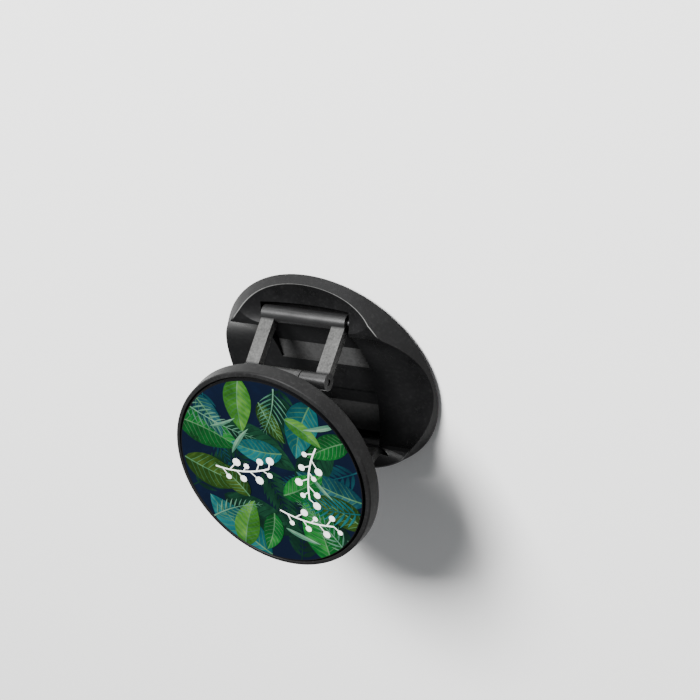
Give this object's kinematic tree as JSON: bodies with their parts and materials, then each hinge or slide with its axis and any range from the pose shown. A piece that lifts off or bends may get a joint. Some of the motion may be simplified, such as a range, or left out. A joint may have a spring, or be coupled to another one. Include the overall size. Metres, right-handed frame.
{
  "type": "folding phone grip",
  "caption": "Folding phone grip: a round base and a round printed cap joined by an hourglass linkage of hinged links.",
  "frame": {"origin": "centre of the underside of the round adhesive pad", "axes": "+Z out of the base towards the cap, X along the six hinge axes, +Y towards the hinge pair that is upper in the picture"},
  "size_m": [0.0466, 0.0491, 0.0302],
  "materials": {
    "pad": "matt foam tape",
    "body": "satin black moulded plastic",
    "link": "satin black moulded plastic, slightly worn",
    "cap": "satin black moulded plastic",
    "pin": "blackened steel pin",
    "print": null
  },
  "bodies": {
    "base": {"adhesive_pad": "pad", "base_body": "body", "upper_base_pin": "pin", "lower_base_pin": "pin"},
    "upper_base_arm": {"upper_base_link": "link", "upper_knee_pin": "pin"},
    "lower_base_arm": {"lower_base_link": "link", "lower_knee_pin": "pin"},
    "upper_cap_arm": {"upper_cap_link": "link"},
    "lower_cap_arm": {"lower_cap_link": "link"},
    "cap": {"cap_back": "cap", "cap_rim": "cap", "print_disc": "print", "upper_cap_pin": "pin", "lower_cap_pin": "pin"}
  },
  "joints": [
    {"name": "upper_base_hinge", "type": "hinge", "parent": "base", "child": "upper_base_arm", "pos_m": [0, 0.0151, 0.0037], "axis": [1, 0, 0], "range_deg": [0, 59.3]},
    {"name": "upper_knee_hinge", "type": "hinge", "parent": "upper_base_arm", "child": "upper_cap_arm", "pos_m": [0, 0.00914, 0.01469], "axis": [1, 0, 0], "range_deg": [-180.3, 0]},
    {"name": "upper_cap_hinge", "type": "hinge", "parent": "upper_cap_arm", "child": "cap", "pos_m": [0, 0.00527, 0.02088], "axis": [1, 0, 0], "range_deg": [0, 128.54]},
    {"name": "lower_base_hinge", "type": "hinge", "parent": "base", "child": "lower_base_arm", "pos_m": [0, -0.0151, 0.0037], "axis": [1, 0, 0], "range_deg": [-80.99, 0]},
    {"name": "lower_knee_hinge", "type": "hinge", "parent": "lower_base_arm", "child": "lower_cap_arm", "pos_m": [0, -0.01452, 0.01619], "axis": [1, 0, 0], "range_deg": [0, 176.38]}
  ],
  "couplings": [
    {"joint": "upper_base_hinge", "follows": "lower_base_hinge", "ratio": -0.73158},
    {"joint": "upper_knee_hinge", "follows": "lower_base_hinge", "ratio": 2.2255},
    {"joint": "upper_cap_hinge", "follows": "lower_base_hinge", "ratio": -1.5866},
    {"joint": "lower_knee_hinge", "follows": "lower_base_hinge", "ratio": -2.1772}
  ]
}
